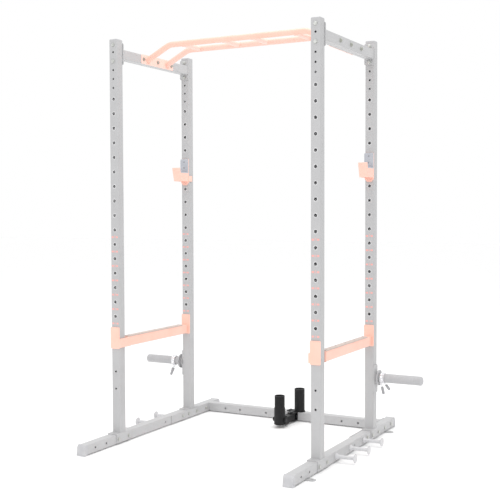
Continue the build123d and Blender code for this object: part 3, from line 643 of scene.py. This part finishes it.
def ribbed_strip(name, colour, dark):
    """Extruded wear strip: ribs every 5 mm across its width, with rub marks from the bar."""
    material, tree, shader, place = start_material(name)
    axes = add(tree, "SeparateXYZ", None, {"Vector": place}).outputs
    ribs = calc(tree, "SINE", calc(tree, "MULTIPLY", axes["X"], math.tau / 0.005))
    rubs = fade(tree, noise(tree, place, 35, 5, 0.65), 0.5, 0.75)
    tree.links.new(tint(tree, rubs, colour, dark), shader.inputs["Base Color"])
    tree.links.new(fade(tree, noise(tree, place, 8, 4), 0.3, 0.7, 0.45, 0.62), shader.inputs["Roughness"])
    bump(tree, shader, ribs, 0.4, 0.5)
    return material


pad_strip = ribbed_strip("safety_wear_strip", "#CBBAB2", "#BFAEA6")
safety_paint = powder_coat("salmon_safety_powder", "#FFCBBA", "#F9BEAB", 0.42)
for side in ("left", "right"):
    body = "safety_bar_" + side
    for part in ("front", "tube", "rear"):
        coat(f"safety_{part}_{side}", safety_paint)
    coat("safety_pad_" + side, pad_strip)
    rack_pins("safety_rack_pins_" + side, "safety_pins_" + side, body)
    low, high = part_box("safety_tube_" + side)
    middle = (low + high) / 2
    bm = bmesh.new()
    for y in (low.y, high.y):
        frame_weld(bm, (middle.x, y, middle.z), (0.015, 0, 0), (0, 0, 0.025), 0.0018)
    piece("safety_welds_" + side, bm, safety_paint, body, slot="accent_paint")
    low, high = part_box("safety_pad_" + side)
    bm = bmesh.new()
    for step in range(5):
        screw(bm, (middle.x, low.y + 0.03 + (high.y - low.y - 0.06) * step / 4, high.z), (0, 0, 1))
    piece("strip_screws_" + side, bm, black_screws, body, slot="black_hardware")

# Bar holder: a black powder coated tube, open at the top, welded to a plate that two screws hold
# to the crossmember. Steel bar ends have rubbed its lip to a dull grey.


def black_coat(name, rim=None):
    """Black powder, greyed where steel rubs: near a rim height, if it has one."""
    material, tree, shader, place = start_material(name, Specular_IOR_Level=0.22)
    cloud = fade(tree, noise(tree, place, 25, 5, 0.65), 0.4, 0.75)
    paint = tint(tree, cloud, "#1A1A1B", "#232324")
    if rim:
        axes = add(tree, "SeparateXYZ", None, {"Vector": place}).outputs
        near_rim = fade(tree, axes["Z"], rim - 0.006, rim)
        rubbed = calc(tree, "MULTIPLY", near_rim, fade(tree, noise(tree, place, 6, 4), 0.3, 0.6))
        paint = tint(tree, rubbed, paint, "#4E4E50")
    tree.links.new(paint, shader.inputs["Base Color"])
    tree.links.new(fade(tree, noise(tree, place, 7, 5), 0.3, 0.7, 0.36, 0.52), shader.inputs["Roughness"])
    bump(tree, shader, noise(tree, place, 3, 2), 0.3, 0.3)
    return material


def open_tube(bm, x, y, bottom, top, outer, bore, floor, foot=None):
    """A turned tube with a rounded rim and a floor, over a thicker rounded foot if it has one."""
    outline = [(outer, bottom)]
    if foot:
        reach, step = foot
        angles = [turn * math.pi / 12 for turn in range(7)]
        arc = [(reach - 0.008 + 0.008 * math.sin(angle), bottom + 0.008 - 0.008 * math.cos(angle))
               for angle in angles]
        outline = [(0, bottom)] + arc
        outline += [(reach, step - 0.0015), (reach - 0.001, step), (outer, step + 0.0012)]
    outline += [(outer, top - 0.0014), (outer - 0.0005, top - 0.0004), (outer - 0.0014, top),
                (bore + 0.001, top), (bore + 0.0003, top - 0.0004), (bore, top - 0.0012),
                (bore, floor + 0.002), (bore - 0.002, floor), (0, floor)]
    lathe(bm, outline, Matrix.Translation((x, y, 0)), 64)


black_paint = black_coat("black_powder_coat")
low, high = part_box("holder_tube")
holder_black = black_coat("black_powder_rubbed_lip", high.z)
x, y = (low.x + high.x) / 2, (low.y + high.y) / 2
bm = bmesh.new()
open_tube(bm, x, y, low.z, high.z, 0.030, 0.026, low.z)
piece("bar_holder", bm, holder_black, replaced=("holder_tube",))
bm = bmesh.new()
ring_weld(bm, (x, y, low.z + 0.0006), (0, 0, 1), 0.0305)
piece("holder_weld", bm, black_paint, slot="black_paint")
coat("holder_plate", black_paint)
black_zinc = zinc("black_zinc_hardware", "#4A4A4C", 0.36, "#3C3C3E")
hardware("crossmember_hardware", "crossmember_bolts", black_zinc)

# Landmine: a welded bracket and yoke in black powder, a clevis pin that lets the yoke swivel, and
# a heavy socket that tilts on a shouldered bolt and takes the end of a bar.
coat("landmine_base", black_paint)
coat("landmine_yoke", black_paint)
low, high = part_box("landmine_sleeve")
x, y = (low.x + high.x) / 2, (low.y + high.y) / 2
bm = bmesh.new()
open_tube(bm, x, y, low.z, high.z, 0.029, 0.026, 0.074, foot=(0.0315, 0.114))
socket_black = black_coat("black_powder_rubbed_rim", high.z)
piece("landmine_socket", bm, socket_black, "landmine_cup", ("landmine_sleeve",))
low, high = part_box("landmine_yoke")
bm = bmesh.new()
frame_weld(bm, (x, 0.3965, 0.0325), (0.020, 0, 0), (0, 0, 0.018), 0.0018)
for edge in (low.x + 0.0005, high.x - 0.0005):
    bead(bm, (edge, 0.3945, low.z + 0.001), (edge, 0.3945, high.z - 0.001), 0.0014)
piece("yoke_welds", bm, black_paint, "landmine_arm", slot="black_paint")
low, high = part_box("landmine_base")
bm = bmesh.new()
for height in (0.014, 0.0512):
    bead(bm, (low.x + 0.002, high.y - 0.0052, height), (high.x - 0.002, high.y - 0.0052, height), 0.0016)
piece("bracket_welds", bm, black_paint, slot="black_paint")
pin_black = zinc("black_zinc_pin", "#505052", 0.3, "#404042")
low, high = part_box("landmine_swivel_pin")
bm = bmesh.new()
tall = high.z - low.z
lathe(bm, [(0, 0), (0.005, 0), (0.006, 0.001), (0.006, tall - 0.005), (0.0094, tall - 0.005),
           (0.01, tall - 0.0044), (0.01, tall - 0.0012), (0.0092, tall - 0.0003), (0.0075, tall), (0, tall)],
      Matrix.Translation(((low.x + high.x) / 2, (low.y + high.y) / 2, low.z)), 32)
piece("swivel_clevis_pin", bm, pin_black, replaced=("landmine_swivel_pin",))
low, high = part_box("landmine_tilt_pin")
centre = (low + high) / 2
bm = bmesh.new()
seat = aim((low.x + 0.005, centre.y, centre.z), (1, 0, 0))
lathe(bm, [(0.005, 0), (0.005, high.x - low.x - 0.01)], seat, 24)
for start, way in ((low.x + 0.0054, -1), (high.x - 0.0054, 1)):
    hexagon(bm, aim((start, centre.y, centre.z), (way, 0, 0)), 0.0168, 0.0054)
piece("tilt_shoulder_bolt", bm, pin_black, "landmine_arm", ("landmine_tilt_pin",))

# Stage: a seamless white floor under an even white sky, a broad soft key from the front, another
# from above that lifts the tops of the tubes, and a faint fill from the left.
bm = bmesh.new()
bmesh.ops.create_grid(bm, x_segments=1, y_segments=1, size=30.0)
floor_mesh = bpy.data.meshes.new("floor")
bm.to_mesh(floor_mesh)
bm.free()
floor = bpy.data.objects.new("floor", floor_mesh)
bpy.context.scene.collection.objects.link(floor)
floor_paint, tree, shader, place = start_material("white_floor", Roughness=0.9)
shader.inputs["Base Color"].default_value = linear("#FFFFFF")
floor_mesh.materials.append(floor_paint)
floor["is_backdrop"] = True

world = bpy.data.worlds.new("studio")
world.use_nodes = True
world.node_tree.nodes["Background"].inputs["Color"].default_value = (1, 1, 1, 1)
world.node_tree.nodes["Background"].inputs["Strength"].default_value = 1.0
bpy.context.scene.world = world
bpy.context.scene.view_settings.view_transform = "Standard"


def panel(name, place, target, size, watts):
    """A rectangular soft light that faces a point."""
    light = bpy.data.lights.new(name, "AREA")
    light.shape = "RECTANGLE"
    light.size, light.size_y = size
    light.energy = watts
    holder = bpy.data.objects.new(name, light)
    bpy.context.scene.collection.objects.link(holder)
    holder.location = place
    holder.rotation_euler = (Vector(target) - Vector(place)).to_track_quat("-Z", "Y").to_euler()


panel("key_softbox", (0.8, -4.6, 3.0), (0.4, 0, 1.0), (2.5, 2.5), 34)
panel("side_fill", (-4.5, -0.5, 2.5), (0, 0, 0.8), (2.0, 3.0), 8)
panel("top_softbox", (0.4, 0.4, 4.6), (0, 0, 0), (3.0, 3.0), 60)

# Camera: at eye height off the front right corner, on a short telephoto lens, looking a little
# downwards, so that both feet and the whole of the pull-up bar are in view.
camera_data = bpy.data.cameras.new("camera")
camera_data.sensor_width = 36.0
camera_data.lens = 67.42
camera = bpy.data.objects.new("camera", camera_data)
bpy.context.scene.collection.objects.link(camera)
camera.matrix_world = (Matrix.Translation((2.3815, -4.3916, 1.2322))
                       @ Matrix.Rotation(math.radians(28.179), 4, "Z")
                       @ Matrix.Rotation(math.radians(90 - 2.38), 4, "X")
                       @ Matrix.Rotation(math.radians(-0.175), 4, "Z"))
bpy.context.scene.camera = camera

low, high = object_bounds()
